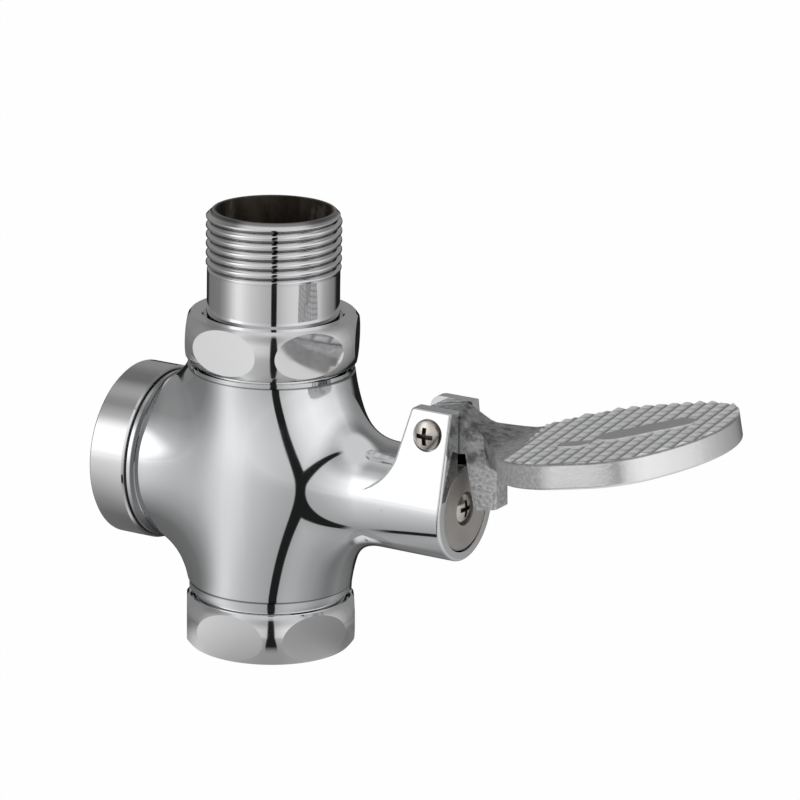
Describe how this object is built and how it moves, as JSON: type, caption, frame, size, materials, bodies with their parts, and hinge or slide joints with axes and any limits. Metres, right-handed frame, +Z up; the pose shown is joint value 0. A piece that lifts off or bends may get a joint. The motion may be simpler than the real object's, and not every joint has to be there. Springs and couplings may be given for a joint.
{
  "type": "foot pedal flush valve",
  "caption": "Angle flush valve: threaded inlet on top, compression outlet below, and a treaded foot pedal that pushes a rod to open a spring-loaded piston seat.",
  "frame": {"origin": "centre of the outlet nut's lower face, where the flush pipe enters", "axes": "+Z up the water way towards the inlet, +X along the push rod towards the pedal, +Y away from the pivot screw's head"},
  "size_m": [0.1637, 0.0598, 0.1101],
  "materials": {
    "chrome_body": "chrome plate over a sand-blasted brass casting",
    "chrome_nut": "polished chrome plate",
    "chrome_nipple": "turned, chrome plated, bare inside",
    "chrome_cap": "turned and chrome plated",
    "bare_brass": "machined",
    "stainless": "ground",
    "spring_steel": "drawn wire",
    "screw_steel": "bright, with a warm tint",
    "button_metal": "fine turned, matte",
    "cast_pedal": "matte plated casting with a linished rim",
    "black_rubber": "moulded"
  },
  "bodies": {
    "housing": {"valve_body": "chrome_body", "inlet_union_nut": "chrome_nut", "inlet_nipple": "chrome_nipple", "inlet_gasket": "black_rubber", "outlet_union_nut": "chrome_nut", "outlet_slip_ring": "bare_brass", "outlet_cone_seal": "black_rubber", "rear_cap": "chrome_cap", "rear_cap_seal": "black_rubber", "piston_spring": "spring_steel", "rod_gland": "bare_brass", "gland_seal": "black_rubber", "rod_o_rings": "black_rubber", "rod_return_spring": "spring_steel", "pivot_screw": "screw_steel"},
    "piston_group": {"piston": "bare_brass", "seat_disc": "black_rubber", "seat_disc_retainer": "bare_brass", "piston_cup_seal": "black_rubber", "cup_retainer_ring": "bare_brass", "relief_spring": "spring_steel", "relief_spring_plug": "bare_brass"},
    "relief_group": {"relief_valve": "stainless", "relief_seal": "black_rubber"},
    "push_group": {"push_rod": "stainless", "button_disc": "button_metal", "button_screw": "screw_steel"},
    "pedal_lever": {"pedal": "cast_pedal"}
  },
  "joints": [
    {"name": "pedal_hinge", "type": "hinge", "parent": "housing", "child": "pedal_lever", "pos_m": [0.0496, 0, 0.0633], "axis": [0, 1, 0], "range_deg": [0, 26], "stiffness_Nm_per_rad": 0.6, "springref_deg": -20.05},
    {"name": "push_rod_slide", "type": "slide", "parent": "housing", "child": "push_group", "axis": [-1, 0, 0], "range_m": [0, 0.005], "deforming": ["rod_return_spring"]},
    {"name": "piston_slide", "type": "slide", "parent": "housing", "child": "piston_group", "axis": [-1, 0, 0], "range_m": [0, 0.006], "stiffness_N_per_m": 150, "springref_m": -0.02, "deforming": ["piston_spring"]},
    {"name": "relief_slide", "type": "slide", "parent": "piston_group", "child": "relief_group", "axis": [-1, 0, 0], "range_m": [0, 0.0038], "deforming": ["relief_spring"]}
  ],
  "couplings": [
    {"joint": "push_rod_slide", "follows": "pedal_hinge", "m_per_rad": 0.011},
    {"joint": "relief_slide", "follows": "pedal_hinge", "m_per_rad": 0.00836}
  ]
}
